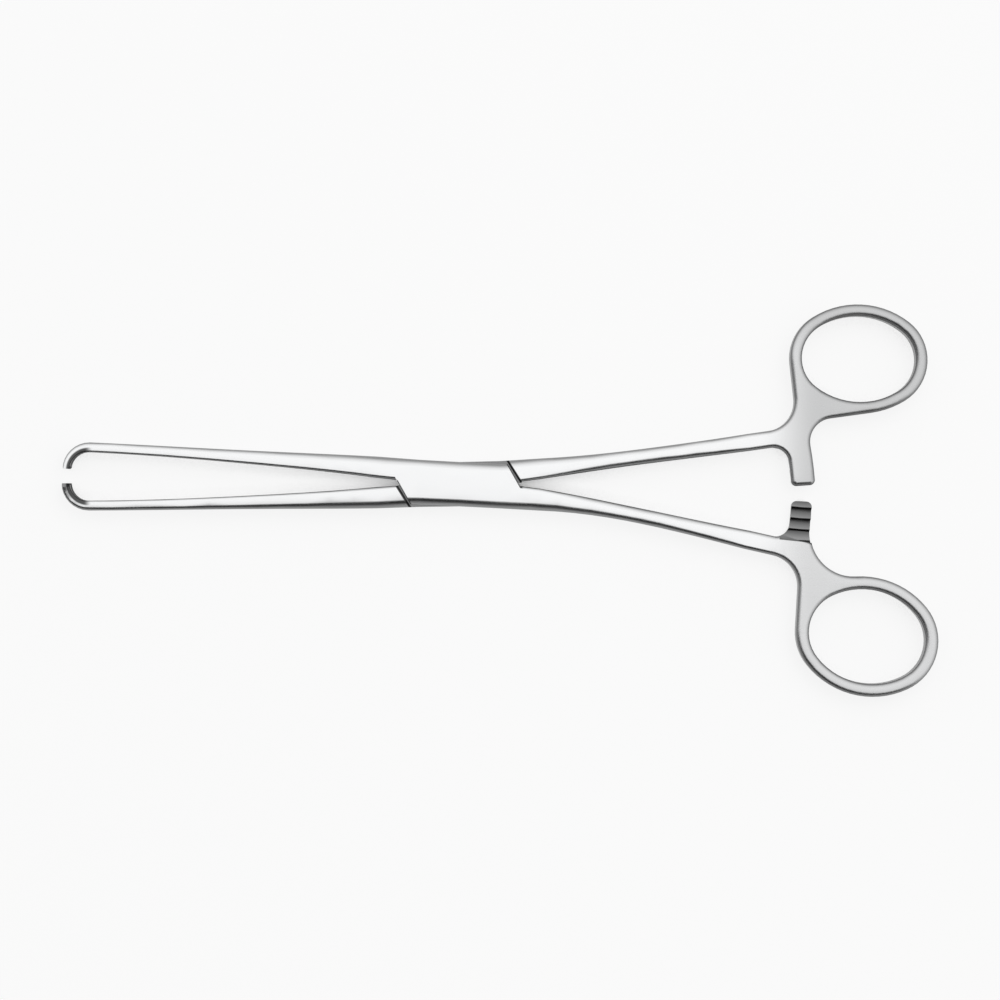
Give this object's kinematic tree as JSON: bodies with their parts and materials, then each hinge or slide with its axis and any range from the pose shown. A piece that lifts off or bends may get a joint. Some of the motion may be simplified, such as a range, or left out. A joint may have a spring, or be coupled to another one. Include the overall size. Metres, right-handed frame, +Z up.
{
  "type": "tonsil holding forceps",
  "caption": "Slender surgical holding forceps with long bars, inward-hooked toothed tips, a riveted box lock, finger rings and a ratchet catch.",
  "frame": {"origin": "the pivot's axis where it meets the resting plane, at the underside of the box lock", "axes": "+X along the mid-line towards the finger rings, +Y to the side of the male half's ring, +Z up along the pivot"},
  "size_m": [0.2001, 0.0892, 0.0056],
  "materials": {
    "instrument_steel": "satin stainless steel",
    "pin_steel": "satin stainless steel, ground flush"
  },
  "bodies": {
    "box_side": {"box_half": "instrument_steel", "box_lock_pin": "pin_steel"},
    "male_side": {"male_half": "instrument_steel"}
  },
  "joints": [
    {"name": "box_lock_hinge", "type": "hinge", "parent": "box_side", "child": "male_side", "pos_m": [0, 0, 0.0028], "axis": [0, 0, 1], "range_deg": [-2.7, 57.3]}
  ]
}
